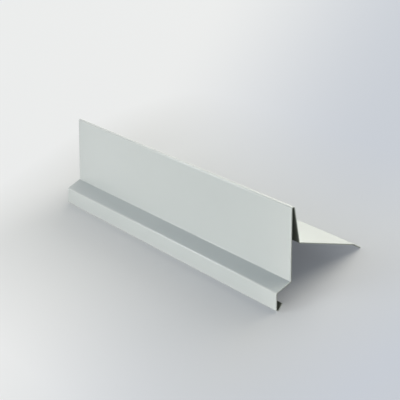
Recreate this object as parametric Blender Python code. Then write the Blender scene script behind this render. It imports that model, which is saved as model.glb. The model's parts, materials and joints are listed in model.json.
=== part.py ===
"""Verge flashing: one strip of coated sheet metal, folded to a constant section and cut square.

Metres, +Z up. The length runs along X, centred on the origin. The section is drawn in the Y-Z plane
as it is fixed on a roof, with the outside of the building towards -Y, and is then laid down the way
the loose piece comes to rest on a level floor. The origin is under the middle of its bounding box.
"""

import math

import bmesh
import bpy
from mathutils import Matrix, Vector
from mathutils.geometry import convex_hull_2d

# Stock
LENGTH = 0.500
SHEET = 0.0012
BEND_RADIUS = 0.0010  # inside radius of every fold

# Flat widths, from the drip at the bottom edge to the lip at the roof side.
# Each is measured over the outside of the sheet, from fold to fold.
HEM = 0.010
LOWER_FACE = 0.020
SHOULDER = 0.020
TALL_FACE = 0.080
BACK_LEG = 0.040
ROOF_FLANGE = 0.070
LIP = 0.010

# Slopes of the flats in the section, in degrees
HEM_SPLAY = 30.0  # of the hem, off the lower face
SHOULDER_RISE = 30.0  # of the shoulder, above level
LEG_LEAN = 10.0  # of the back leg, off the tall face
FLANGE_FALL = 10.0  # of the roof flange, below level
LIP_FALL = 30.0  # of the lip, below level

FACET = 7.5  # degrees of bend to each flat facet of a fold

COATING = (0.60, 0.64, 0.63, 1.0)


def heading(degrees):
    """Unit direction in the section: 0 is towards the roof (+Y), and 90 is up (+Z)."""
    return Vector((math.cos(math.radians(degrees)), math.sin(math.radians(degrees))))


def flats():
    """(width, heading) of each flat of the strip, walked from the hem's free edge to the lip's."""
    return [
        (HEM, 270.0 - HEM_SPLAY),
        (LOWER_FACE, 90.0),
        (SHOULDER, SHOULDER_RISE),
        (TALL_FACE, 90.0),
        (BACK_LEG, LEG_LEAN - 90.0),
        (ROOF_FLANGE, -FLANGE_FALL),
        (LIP, -LIP_FALL),
    ]


def face_radius(turn):
    """Radius of a fold on the face side of the sheet. A turn to the right leaves that side outside."""
    return BEND_RADIUS + SHEET if turn < 0 else BEND_RADIUS


def set_back(turn):
    """How much of a flat's outside width the fold at one of its ends takes up.

    Past a right angle the width is measured to the fold's outermost line, and up to it to the
    point where the outsides of the two flats would meet.
    """
    outside = BEND_RADIUS + SHEET
    if abs(turn) > 90.0:
        return outside
    return face_radius(turn) * math.tan(math.radians(abs(turn)) / 2)


def face_line():
    """The face side of the sheet as a line of points, from the hem's free edge to the lip's."""
    walk = flats()
    turns = [after[1] - before[1] for before, after in zip(walk, walk[1:])]
    around = [0.0] + [set_back(turn) for turn in turns] + [0.0]
    place = Vector((0.0, 0.0))
    line = [place.copy()]
    for step, (width, course) in enumerate(walk):
        place = place + heading(course) * (width - around[step] - around[step + 1])
        line.append(place.copy())
        if step < len(turns):
            line.extend(fold(place, course, turns[step]))
            place = line[-1].copy()
    return line


def fold(start, course, turn):
    """Points along a fold that begins at start, running on course, and turns by turn degrees."""
    radius = face_radius(turn)
    side = math.copysign(90.0, turn)
    centre = start + heading(course + side) * radius
    count = max(2, round(abs(turn) / FACET))
    return [
        centre - heading(course + side + turn * step / count) * radius
        for step in range(1, count + 1)
    ]


def make_sheet(line):
    """The line of the face side drawn out to the length, and given the sheet's thickness behind it."""
    shape = bmesh.new()
    corners = [shape.verts.new((-LENGTH / 2, y, z)) for y, z in line]
    edges = [shape.edges.new(pair) for pair in zip(corners, corners[1:])]
    drawn = bmesh.ops.extrude_edge_only(shape, edges=edges)["geom"]
    moved = [item for item in drawn if isinstance(item, bmesh.types.BMVert)]
    bmesh.ops.translate(shape, verts=moved, vec=(LENGTH, 0.0, 0.0))
    turn_faces_out(shape)
    mesh = bpy.data.meshes.new("verge_flashing")
    shape.to_mesh(mesh)
    shape.free()
    sheet = bpy.data.objects.new("verge_flashing", mesh)
    bpy.context.scene.collection.objects.link(sheet)
    wall = sheet.modifiers.new("sheet thickness", "SOLIDIFY")
    wall.thickness = SHEET
    wall.offset = -1.0
    wall.use_even_offset = True
    return sheet


def turn_faces_out(shape):
    """Point every face to the outside of the building, judged by the tall face, the widest one."""
    shape.normal_update()
    widest = max(shape.faces, key=lambda face: face.calc_area())
    if widest.normal.y > 0:
        bmesh.ops.reverse_faces(shape, faces=shape.faces[:])


def centre_of_mass(corners, faces):
    """Middle of the sheet's end face, which every section along the length repeats."""
    total, moment = 0.0, Vector((0.0, 0.0))
    for loop in faces:
        ring = [corners[index] for index in loop]
        area = sum(a.cross(b) for a, b in zip(ring, ring[1:] + ring[:1])) / 2
        middle = sum(ring, Vector((0.0, 0.0))) / len(ring)
        total += abs(area)
        moment += middle * abs(area)
    return moment / total


def resting_angle(sheet):
    """Angle that the loose piece tips back by, before its weight lies over what it stands on.

    A long piece of one section can only stand on an edge of the section's convex hull. Tipping
    back from the fixed position, it stops on the first one that has the centre of mass over it.
    """
    graph = bpy.context.evaluated_depsgraph_get()
    solid = sheet.evaluated_get(graph).to_mesh()
    corners = [Vector(vertex.co.yz) for vertex in solid.vertices]
    ends = [list(face.vertices) for face in solid.polygons if face.normal.x > 0.99]
    weight = centre_of_mass(corners, ends)
    hull = [corners[index] for index in convex_hull_2d(corners)]
    angles = []
    for near, far in zip(hull, hull[1:] + hull[:1]):
        run = far - near
        if run.length > SHEET and 0.0 < (weight - near).dot(run.normalized()) < run.length:
            angles.append(math.atan2(run.y, run.x) % math.tau)
    return min(angles)


def lay_down(sheet):
    """Turn the mesh about X to the resting position, and put the origin under its middle."""
    sheet.data.transform(Matrix.Rotation(-resting_angle(sheet), 4, "X"))
    bpy.context.view_layer.update()
    graph = bpy.context.evaluated_depsgraph_get()
    solid = sheet.evaluated_get(graph).to_mesh()
    ys = [vertex.co.y for vertex in solid.vertices]
    zs = [vertex.co.z for vertex in solid.vertices]
    sheet.data.transform(Matrix.Translation((0.0, -(min(ys) + max(ys)) / 2, -min(zs))))


def coat(sheet):
    """Stoved coating, pale grey with a satin gloss."""
    coating = bpy.data.materials.new("coating")
    coating.use_nodes = True
    shader = coating.node_tree.nodes["Principled BSDF"]
    shader.inputs["Base Color"].default_value = COATING
    shader.inputs["Metallic"].default_value = 0.0
    shader.inputs["Roughness"].default_value = 0.35
    sheet.data.materials.append(coating)


def smooth_folds(sheet):
    """Shade the folds round and keep the cut edges crisp."""
    sheet.data.shade_smooth()
    sheet.data.set_sharp_from_angle(angle=math.radians(2 * FACET))


for old in list(bpy.data.objects):
    bpy.data.objects.remove(old, do_unlink=True)

flashing = make_sheet(face_line())
lay_down(flashing)
coat(flashing)
smooth_folds(flashing)
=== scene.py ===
import json
import math

import bmesh
import bpy
from mathutils import Matrix, Vector


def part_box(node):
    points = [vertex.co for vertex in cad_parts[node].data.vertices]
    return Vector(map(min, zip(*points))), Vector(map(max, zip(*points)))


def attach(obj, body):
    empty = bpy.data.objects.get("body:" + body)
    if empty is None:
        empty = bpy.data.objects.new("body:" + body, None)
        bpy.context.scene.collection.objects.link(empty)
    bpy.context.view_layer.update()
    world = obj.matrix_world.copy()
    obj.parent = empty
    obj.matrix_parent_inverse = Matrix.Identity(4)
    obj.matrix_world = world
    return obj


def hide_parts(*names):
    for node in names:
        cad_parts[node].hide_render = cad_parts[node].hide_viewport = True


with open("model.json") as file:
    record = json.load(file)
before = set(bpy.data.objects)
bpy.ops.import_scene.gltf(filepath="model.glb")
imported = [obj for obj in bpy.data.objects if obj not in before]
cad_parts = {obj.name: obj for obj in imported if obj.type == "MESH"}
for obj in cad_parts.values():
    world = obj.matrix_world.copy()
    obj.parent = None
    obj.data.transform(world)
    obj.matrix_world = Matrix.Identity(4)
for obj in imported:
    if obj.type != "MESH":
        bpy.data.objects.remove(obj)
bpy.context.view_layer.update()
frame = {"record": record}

# Folded sheet
# The flashing is one strip of coated steel, sheared to width and folded on a press brake, one fold
# at a time. It is drawn here as the brake works, from the tall face out to both free edges, with a
# true round fold between each flat and the next, and is then given its thickness.
low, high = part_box("verge_flashing")
length = high.x - low.x
sheet_thickness = 0.0012
inside_radius = 0.0010
outside_radius = inside_radius + sheet_thickness
facet = 3.0  # degrees of bend to each facet of a fold, to the nearest whole number of facets
hold = 0.0003  # strip beside each fold that keeps the shading of the flats flat
same_place = 0.00001  # two places nearer than this count as one

# Fold in degrees, positive to the left with the roof on the right, and width of the flat after it
tall_face = 0.080
to_the_roof = [
    (-170.0, 0.040),  # over the top and down the back leg
    (70.0, 0.070),  # out along the roof flange
    (-20.0, 0.010),  # down the lip
]
to_the_drip = [
    (-60.0, 0.020),  # out down the shoulder
    (60.0, 0.020),  # down the lower face
    (150.0, 0.010),  # back up the hem
]

face_mount = next(m for m in frame["record"]["mounts"] if m["name"] == "tall_face_front")
face_middle = Vector(face_mount["pos_m"])
face_out = Vector(face_mount["axis"])
lean = math.degrees(math.atan2(face_out.z, -face_out.y))  # how far the loose piece tips back
up, down = 90.0, 270.0  # headings along the tall face
fold_centres = []


def course(degrees):
    """Direction in the section, with 0 towards the roof and 90 up the tall face."""
    angle = math.radians(degrees - lean)
    return Vector((0.0, math.cos(angle), math.sin(angle)))


def face_radius(outer):
    """Radius of a fold on the face side of the sheet, which is its outer or its inner side."""
    return outside_radius if outer else inside_radius


def taken(turn, outer):
    """Width that a fold takes from the flat beside it."""
    if abs(turn) > 90.0:
        return outside_radius
    return face_radius(outer) * math.tan(math.radians(abs(turn) / 2))


def pick_edge(place):
    """Select only the edge that runs along the strip at this place in the section."""
    bpy.ops.mesh.select_all(action="DESELECT")
    strip = bmesh.from_edit_mesh(flashing.data)
    for line in strip.edges:
        if all((v.co.yz - place.yz).length < same_place for v in line.verts):
            line.select_set(True)
    bmesh.update_edit_mesh(flashing.data)


def draw(edge, heading, width):
    """Draw the selected free edge out flat, and give back its new place."""
    run = course(heading) * width
    bpy.ops.mesh.extrude_region_move(TRANSFORM_OT_translate={"value": run})
    return edge + run


def fold(edge, heading, turn, outer):
    """Spin the selected free edge round a fold, and give back its new place and heading."""
    radius = face_radius(outer)
    side = math.copysign(90.0, turn)
    centre = edge + course(heading + side) * radius
    fold_centres.append(centre)
    bpy.ops.mesh.spin(
        steps=round(abs(turn) / facet),
        angle=math.radians(abs(turn)),
        center=centre,
        axis=(-math.copysign(1.0, turn), 0.0, 0.0),  # the operator turns clockwise round its axis
    )
    return centre - course(heading + turn + side) * radius, heading + turn


def draw_out(edge, heading, folds, outer_sign):
    """Fold the strip on from one edge of the tall face; outer_sign marks a fold with the face outside."""
    pick_edge(edge)
    edge = draw(edge, heading, hold)
    for (turn, width), (after, _) in zip(folds, folds[1:] + [(0.0, 0.0)]):
        outer = turn * outer_sign > 0
        edge, heading = fold(edge, heading, turn, outer)
        flat = width - taken(turn, outer) - taken(after, after * outer_sign > 0)
        for run in (hold, flat - 2 * hold, hold):
            edge = draw(edge, heading, run)


bpy.ops.object.select_all(action="DESELECT")
tall_flat = tall_face - taken(to_the_roof[0][0], True) - taken(to_the_drip[0][0], False)
upright = (math.radians(90.0 - lean), 0.0, 0.0)
bpy.ops.mesh.primitive_plane_add(size=1.0, location=face_middle, rotation=upright)
flashing = bpy.context.object
flashing.name = flashing.data.name = "folded_sheet"
flashing.scale = (length, tall_flat - 2 * hold, 1.0)
bpy.ops.object.transform_apply(location=True, rotation=True, scale=True)
bpy.ops.object.mode_set(mode="EDIT")
bpy.ops.mesh.select_mode(type="EDGE")
draw_out(face_middle + course(up) * (tall_flat / 2 - hold), up, to_the_roof, -1)
draw_out(face_middle + course(down) * (tall_flat / 2 - hold), down, to_the_drip, 1)
bpy.ops.mesh.select_all(action="SELECT")
bpy.ops.mesh.remove_doubles(threshold=same_place)
bpy.ops.mesh.normals_make_consistent(inside=False)
bpy.ops.object.mode_set(mode="OBJECT")
widest = max(flashing.data.polygons, key=lambda polygon: polygon.area)
if widest.normal.dot(face_out) < 0:
    bpy.ops.object.mode_set(mode="EDIT")
    bpy.ops.mesh.flip_normals()
    bpy.ops.object.mode_set(mode="OBJECT")

# The thickness goes on behind the face. The material slots are the face, the back and the sheared
# edges, in that order, and "depth" is 0 on the face and 1 on the back.
face_slot, back_slot, edge_slot = range(3)
for _ in (face_slot, back_slot, edge_slot):
    flashing.data.materials.append(None)
face_corners = len(flashing.data.vertices)
wall = flashing.modifiers.new("sheet", "SOLIDIFY")
wall.thickness = sheet_thickness
wall.offset = -1.0
wall.use_even_offset = True
wall.material_offset = back_slot
wall.material_offset_rim = edge_slot
bpy.ops.object.modifier_apply(modifier=wall.name)
depth = flashing.data.attributes.new("depth", "FLOAT", "POINT")
for corner, mark in enumerate(depth.data):
    mark.value = 0.0 if corner < face_corners else 1.0

# The shears leave a fine round on every sheared edge.
arris_width = 0.0001
arris_angle = 60.0  # degrees, far more than from one facet of a fold to the next
smooth_angle = 30.0
arris = flashing.modifiers.new("sheared arris", "BEVEL")
arris.width = arris_width
arris.segments = 2
arris.limit_method = "ANGLE"
arris.angle_limit = math.radians(arris_angle)
bpy.ops.object.modifier_apply(modifier=arris.name)
bpy.ops.object.shade_smooth_by_angle(angle=math.radians(smooth_angle))

# This mark is 1 on the outer side of a fold, where the coat is drawn thin, a little less on its inner
# side, where the coat is crushed, and 0 on the flats. The coat is painted paler there, a painted
# highlight along each fold on top of the slight paling of the thinned coat.
outer_stretch_highlight = 1.0
inner_stretch_highlight = 0.8
stretch_and_highlight = flashing.data.attributes.new("stretch_and_highlight", "FLOAT", "POINT")
for vertex, mark in zip(flashing.data.vertices, stretch_and_highlight.data):
    reach = min((vertex.co.yz - centre.yz).length for centre in fold_centres)
    if abs(reach - inside_radius) < same_place:
        mark.value = inner_stretch_highlight
    elif abs(reach - outside_radius) < same_place:
        mark.value = outer_stretch_highlight

# The finished sheet stands for the CAD model's plain one, on the only body.
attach(flashing, "root")
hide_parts("verge_flashing")

# Stoved coat
# The colour is rolled on wet and stoved hard, which leaves a very fine orange peel. Its shade drifts
# faintly over the strip, and its gloss in streaks along the way it was rolled. A fold draws it thin
# and smoother, and the coat is painted paler on the fold, a painted highlight over the slight paling
# of the thinned coat.
cloud_scale = 11.0
shade_drift = 0.03
streak_scale = (1.5, 60.0, 60.0)  # long along the strip and narrow across it
gloss_drift = 0.04
stretched_share = 0.85  # of its roughness is left where a fold has drawn the coat thin


def add(tree, kind, **values):
    """Add a shader node, with the values of its inputs given by name."""
    node = tree.nodes.new(kind)
    for name, value in values.items():
        node.inputs[name.replace("_", " ")].default_value = value
    return node


def join(tree, source, gives, target, takes):
    """Link two nodes by the names of their sockets, passing over the sockets that are not in use."""
    start = next(socket for socket in source.outputs if socket.name == gives and socket.enabled)
    end = next(socket for socket in target.inputs if socket.name == takes and socket.enabled)
    tree.links.new(start, end)


def combine(tree, operation, one, other):
    """The output of a Math node that works on two sockets."""
    node = add(tree, "ShaderNodeMath")
    node.operation = operation
    tree.links.new(one, node.inputs[0])
    tree.links.new(other, node.inputs[1])
    return node.outputs["Value"]


def new_group(name, takes, gives):
    """A node group with its inputs, as (name, kind, value), and its outputs, as (name, kind)."""
    group = bpy.data.node_groups.new(name, "ShaderNodeTree")
    for label, kind, value in takes:
        group.interface.new_socket(label, in_out="INPUT", socket_type=kind).default_value = value
    for label, kind in gives:
        group.interface.new_socket(label, in_out="OUTPUT", socket_type=kind)
    return group, group.nodes.new("NodeGroupInput"), group.nodes.new("NodeGroupOutput")


def new_material(name):
    """A material with only a Principled BSDF and its output."""
    material = bpy.data.materials.new(name)
    material.use_nodes = True
    return material, material.node_tree, material.node_tree.nodes["Principled BSDF"]


stoved_coat, coat_in, coat_out = new_group(
    "stoved coat",
    [
        ("Colour", "NodeSocketColor", (0.5, 0.5, 0.5, 1.0)),
        ("Stretched Highlight Colour", "NodeSocketColor", (0.5, 0.5, 0.5, 1.0)),
        ("Roughness", "NodeSocketFloat", 0.4),
        ("Peel Scale", "NodeSocketFloat", 1500.0),
    ],
    [
        ("Colour", "NodeSocketColor"),
        ("Roughness", "NodeSocketFloat"),
        ("Height", "NodeSocketFloat"),
    ],
)
place = add(stoved_coat, "ShaderNodeTexCoord")
peel = add(stoved_coat, "ShaderNodeTexNoise", Detail=2.0)
join(stoved_coat, place, "Object", peel, "Vector")
join(stoved_coat, coat_in, "Peel Scale", peel, "Scale")
join(stoved_coat, peel, "Fac", coat_out, "Height")

clouds = add(stoved_coat, "ShaderNodeTexNoise", Scale=cloud_scale, Detail=4.0)
shade = add(stoved_coat, "ShaderNodeMapRange", To_Min=1 - shade_drift, To_Max=1 + shade_drift)
tone = add(stoved_coat, "ShaderNodeVectorMath")
tone.operation = "SCALE"
# A fold's mark paints the coat paler there, a painted highlight, and makes it smoother.
stretch_highlight_mask = add(stoved_coat, "ShaderNodeAttribute")
stretch_highlight_mask.attribute_name = "stretch_and_highlight"
paled_highlight = add(stoved_coat, "ShaderNodeMix")
paled_highlight.data_type = "RGBA"
join(stoved_coat, place, "Object", clouds, "Vector")
join(stoved_coat, clouds, "Fac", shade, "Value")
join(stoved_coat, coat_in, "Colour", tone, "Vector")
join(stoved_coat, shade, "Result", tone, "Scale")
join(stoved_coat, stretch_highlight_mask, "Fac", paled_highlight, "Factor")
join(stoved_coat, tone, "Vector", paled_highlight, "A")
join(stoved_coat, coat_in, "Stretched Highlight Colour", paled_highlight, "B")
join(stoved_coat, paled_highlight, "Result", coat_out, "Colour")

rolled = add(stoved_coat, "ShaderNodeMapping", Scale=streak_scale)
streaks = add(stoved_coat, "ShaderNodeTexNoise", Scale=1.0, Detail=3.0)
unevenness = add(stoved_coat, "ShaderNodeMapRange", To_Min=-gloss_drift, To_Max=gloss_drift)
smoothing = add(stoved_coat, "ShaderNodeMapRange", To_Min=1.0, To_Max=stretched_share)
join(stoved_coat, place, "Object", rolled, "Vector")
join(stoved_coat, rolled, "Vector", streaks, "Vector")
join(stoved_coat, streaks, "Fac", unevenness, "Value")
join(stoved_coat, stretch_highlight_mask, "Fac", smoothing, "Value")
uneven = combine(stoved_coat, "ADD", coat_in.outputs["Roughness"], unevenness.outputs["Result"])
smoothed = combine(stoved_coat, "MULTIPLY", uneven, smoothing.outputs["Result"])
stoved_coat.links.new(smoothed, coat_out.inputs["Roughness"])


def coated(name, colour, stretched_highlight_colour, roughness, peel_scale, peel_depth):
    """A stoved coat over the steel, in one colour and gloss, painted paler on the folds as a highlight."""
    material, tree, shader = new_material(name)
    coat = tree.nodes.new("ShaderNodeGroup")
    coat.node_tree = stoved_coat
    coat.inputs["Colour"].default_value = (*colour, 1.0)
    coat.inputs["Stretched Highlight Colour"].default_value = (*stretched_highlight_colour, 1.0)
    coat.inputs["Roughness"].default_value = roughness
    coat.inputs["Peel Scale"].default_value = peel_scale
    surface = add(tree, "ShaderNodeBump", Strength=0.3, Distance=peel_depth)
    join(tree, coat, "Colour", shader, "Base Color")
    join(tree, coat, "Roughness", shader, "Roughness")
    join(tree, coat, "Height", surface, "Height")
    join(tree, surface, "Normal", shader, "Normal")
    return material


# Face coat
# The weather side has a full coat of pale grey with a green cast and a satin gloss. It goes on in the
# coil, before the strip is sheared and folded.
face_coat = coated(
    "face coat",
    colour=(0.602, 0.643, 0.632),
    # the paler colour on the folds is a painted highlight, a little over the real paling of the thin coat
    stretched_highlight_colour=(0.66, 0.695, 0.68),
    roughness=0.25,
    peel_scale=1500.0,
    peel_depth=0.00002,
)
flashing.data.materials[face_slot] = face_coat

# Backing coat
# The side towards the building has only a thin backing coat, duller than the face coat. It goes on in
# the coil as well, and only keeps the steel from rusting. Its colour is painted far darker than such a
# coat, as painted shade for the inside of the narrow top fold and the hem, where the back shows.
backing_coat = coated(
    "backing coat",
    # near-black, painted shade for the inside of the top fold and the hem
    colour=(0.09, 0.095, 0.078),
    # paler on the folds, a painted highlight as on the face
    stretched_highlight_colour=(0.11, 0.115, 0.095),
    roughness=0.5,
    peel_scale=900.0,
    peel_depth=0.00003,
)
flashing.data.materials[back_slot] = backing_coat

# Sheared edges
# The shears cut the first third of the thickness bright, and the rest breaks away dull and torn. The
# steel core is bare there, with a fine grain all over.
bright_to = 0.30  # share of the thickness, from the face, that is cut bright
bright_steel = (0.42, 0.44, 0.41, 1.0)
bright_roughness = 0.35
torn_from = 0.40  # share from which on it is torn
torn_steel = (0.27, 0.29, 0.26, 1.0)
torn_roughness = 0.65
grain_scale = 4000.0
grain_depth = 0.00003
sheared_edge, tree, shader = new_material("sheared edge")
through = add(tree, "ShaderNodeAttribute")
through.attribute_name = "depth"
bands = add(tree, "ShaderNodeValToRGB")
bands.color_ramp.elements[0].color = bright_steel
bands.color_ramp.elements[0].position = bright_to
bands.color_ramp.elements[1].color = torn_steel
bands.color_ramp.elements[1].position = torn_from
dulling = add(
    tree,
    "ShaderNodeMapRange",
    From_Min=bright_to,
    From_Max=torn_from,
    To_Min=bright_roughness,
    To_Max=torn_roughness,
)
place = add(tree, "ShaderNodeTexCoord")
grain = add(tree, "ShaderNodeTexNoise", Scale=grain_scale, Detail=3.0)
relief = add(tree, "ShaderNodeBump", Strength=0.5, Distance=grain_depth)
join(tree, through, "Fac", bands, "Fac")
join(tree, through, "Fac", dulling, "Value")
join(tree, bands, "Color", shader, "Base Color")
join(tree, dulling, "Result", shader, "Roughness")
join(tree, place, "Object", grain, "Vector")
join(tree, grain, "Fac", relief, "Height")
join(tree, relief, "Normal", shader, "Normal")
shader.inputs["Metallic"].default_value = 0.3
flashing.data.materials[edge_slot] = sheared_edge

# Floor
# A plain pale studio floor, matt and level under the piece, whose shadow it takes. Away from the piece
# it is paler than the lamps make it, for the camera and in reflections only, so that it throws no more
# light on the piece. Beside the piece it is left darker, a painted shade round it that reaches further
# out in front of it than behind, and the pale colour turns darker and bluer along a slanted gradient
# across the floor.
floor_size = 40.0
floor_colour = (0.64, 0.65, 0.65, 1.0)
pale_colour = (0.88, 0.89, 0.89, 1.0)
cool_colour = (0.57, 0.61, 0.68, 1.0)
# Painted shade: the floor is left darker further out in front of the piece than behind it.
pale_shift = (0.0, 0.035, 0.0)  # the floor pales sooner behind the piece than in front of it
pale_start = (high.x, high.y, 0.0)  # half of the room that the piece takes up on the floor
pale_reach = 0.18  # from there to where the floor is palest
palest = 0.8  # share of the pale colour there, over the floor as the lamps light it
pale_beside = 0.18  # and the share beside the piece, left low as a painted shade round it over its real shadow
# The pale colour turns darker and bluer along a slanted gradient across the floor.
cool_turn = -37.0  # degrees from the way that the floor cools along to the gradient's own
cool_run = 0.45  # over which it cools
cool_middle = (0.5, 0.0, 0.0)  # brings the middle of the gradient under the piece


def seen_rays(tree):
    """1 for the camera's rays and those in reflections and glass, and 0 for the rays that light things."""
    rays = add(tree, "ShaderNodeLightPath")
    seen = combine(tree, "MAXIMUM", rays.outputs["Is Camera Ray"], rays.outputs["Is Glossy Ray"])
    return combine(tree, "MAXIMUM", seen, rays.outputs["Is Transmission Ray"])


def blend(tree, share, lit, pale, output):
    """Mix a share of the pale surface over the lit one, on the way to the output."""
    both = add(tree, "ShaderNodeMixShader")
    tree.links.new(share, both.inputs["Fac"])
    tree.links.new(lit, both.inputs[1])
    tree.links.new(pale, both.inputs[2])
    tree.links.new(both.outputs["Shader"], output)


bpy.ops.mesh.primitive_plane_add(size=floor_size)
floor = bpy.context.object
floor.name = "floor"
studio_floor, tree, shader = new_material("studio floor")
shader.inputs["Base Color"].default_value = floor_colour
shader.inputs["Roughness"].default_value = 0.55
shader.inputs["Specular IOR Level"].default_value = 0.2
place = add(tree, "ShaderNodeTexCoord")
apart = place.outputs["Object"]
for step, by in (
    ("ADD", pale_shift),
    ("ABSOLUTE", None),
    ("SUBTRACT", pale_start),
    ("MAXIMUM", (0.0, 0.0, 0.0)),
    ("LENGTH", None),
):
    measure = add(tree, "ShaderNodeVectorMath")
    measure.operation = step
    tree.links.new(apart, measure.inputs[0])
    if by:
        measure.inputs[1].default_value = by
    apart = measure.outputs["Value" if step == "LENGTH" else "Vector"]
paling = add(tree, "ShaderNodeMapRange", From_Max=pale_reach, To_Min=pale_beside, To_Max=palest)
tree.links.new(apart, paling.inputs["Value"])
slant = add(tree, "ShaderNodeMapping", Location=cool_middle, Scale=(1 / cool_run, 1 / cool_run, 1.0))
slant.inputs["Rotation"].default_value.z = math.radians(cool_turn)
cooling = add(tree, "ShaderNodeTexGradient")
cooling.gradient_type = "EASING"
pale_tone = add(tree, "ShaderNodeValToRGB")
pale_tone.color_ramp.elements[0].color = pale_colour
pale_tone.color_ramp.elements[1].color = cool_colour
join(tree, place, "Object", slant, "Vector")
join(tree, slant, "Vector", cooling, "Vector")
join(tree, cooling, "Fac", pale_tone, "Fac")
pale = add(tree, "ShaderNodeEmission", Strength=1.0)
join(tree, pale_tone, "Color", pale, "Color")
share = combine(tree, "MULTIPLY", seen_rays(tree), paling.outputs["Result"])
surface = tree.nodes["Material Output"].inputs["Surface"]
blend(tree, share, shader.outputs["BSDF"], pale.outputs["Emission"], surface)
floor.data.materials.append(studio_floor)

# Light
# Plain soft studio light: wide panels in front, behind and beside the piece, in a dim room. Past the
# floor the room's walls are about as pale as the floor, for the camera and in reflections only.
room_light = (0.6, 0.8, 1.0, 1.0)
room_strength = 0.11
wall_colour = (0.70, 0.71, 0.71, 1.0)
panel_distance = 2.5  # from the piece
world = bpy.data.worlds.new("room")
bpy.context.scene.world = world
world.use_nodes = True
tree = world.node_tree
room = tree.nodes["Background"]
room.inputs["Color"].default_value = room_light
room.inputs["Strength"].default_value = room_strength
walls = add(tree, "ShaderNodeBackground", Color=wall_colour, Strength=1.0)
surface = tree.nodes["World Output"].inputs["Surface"]
blend(tree, seen_rays(tree), room.outputs["Background"], walls.outputs["Background"], surface)


def direction_to(azimuth, elevation):
    """Direction from the piece to a place round it; azimuth 0 is in front of the face."""
    turn, rise = math.radians(azimuth), math.radians(elevation)
    return Vector((math.sin(turn) * math.cos(rise), -math.cos(turn) * math.cos(rise), math.sin(rise)))


def panel(name, azimuth, elevation, width, height, power, colour):
    """A soft panel round the piece, turned to face it."""
    outwards = direction_to(azimuth, elevation)
    light = bpy.data.lights.new(name, "AREA")
    light.shape = "RECTANGLE"
    light.size = width
    light.size_y = height
    light.energy = power
    light.color = colour
    lamp = bpy.data.objects.new(name, light)
    bpy.context.scene.collection.objects.link(lamp)
    lamp.location = outwards * panel_distance
    lamp.rotation_euler = (-outwards).to_track_quat("-Z", "Y").to_euler()


# Each with its azimuth and elevation in degrees, width and height, power in watts, and colour
panel("front panel", 0.0, 12.0, 2.5, 1.0, 27.6, (1.0, 0.93, 0.83))
panel("near panel", 55.0, 16.0, 3.0, 1.4, 23.0, (0.89, 0.94, 1.0))
panel("far panel", -62.0, 35.0, 1.5, 1.0, 19.5, (0.94, 0.98, 1.0))
panel("back panel", 180.0, 36.0, 4.5, 2.0, 88.0, (1.0, 0.95, 0.85))
panel("near back panel", 160.0, 14.0, 2.0, 1.2, 16.0, (1.0, 0.95, 0.84))

# Camera
# It looks at the tall face from the photograph's side, as if the piece were fixed on the roof, and
# is tipped back with the loose piece, so that the piece shows as it does in the photograph.
view_azimuth = 59.9
view_elevation = 15.03
view_distance = 1.745
picture_width = 400.0  # in the photograph's pixels
focal_pixels = 1544.0  # the focal length in the same pixels
sensor_width = 36.0  # in millimetres, as the lens is
aim_along = 0.063  # from the middle of the tall face towards the near end
aim_up = 0.005  # and up the face
aim = face_middle + Vector((aim_along, 0.0, 0.0)) + course(up) * aim_up
across = direction_to(view_azimuth + 90.0, 0.0)
back = direction_to(view_azimuth, view_elevation)
stand = Matrix((across, back.cross(across), back)).transposed()
tip = Matrix.Rotation(math.radians(-lean), 3, "X")
lens = bpy.data.cameras.new("camera")
lens.sensor_width = sensor_width
lens.lens = focal_pixels / picture_width * sensor_width
camera = bpy.data.objects.new("camera", lens)
bpy.context.scene.collection.objects.link(camera)
camera.matrix_world = Matrix.Translation(aim + tip @ back * view_distance) @ (tip @ stand).to_4x4()
bpy.context.scene.camera = camera
bpy.context.scene.view_settings.view_transform = "Standard"
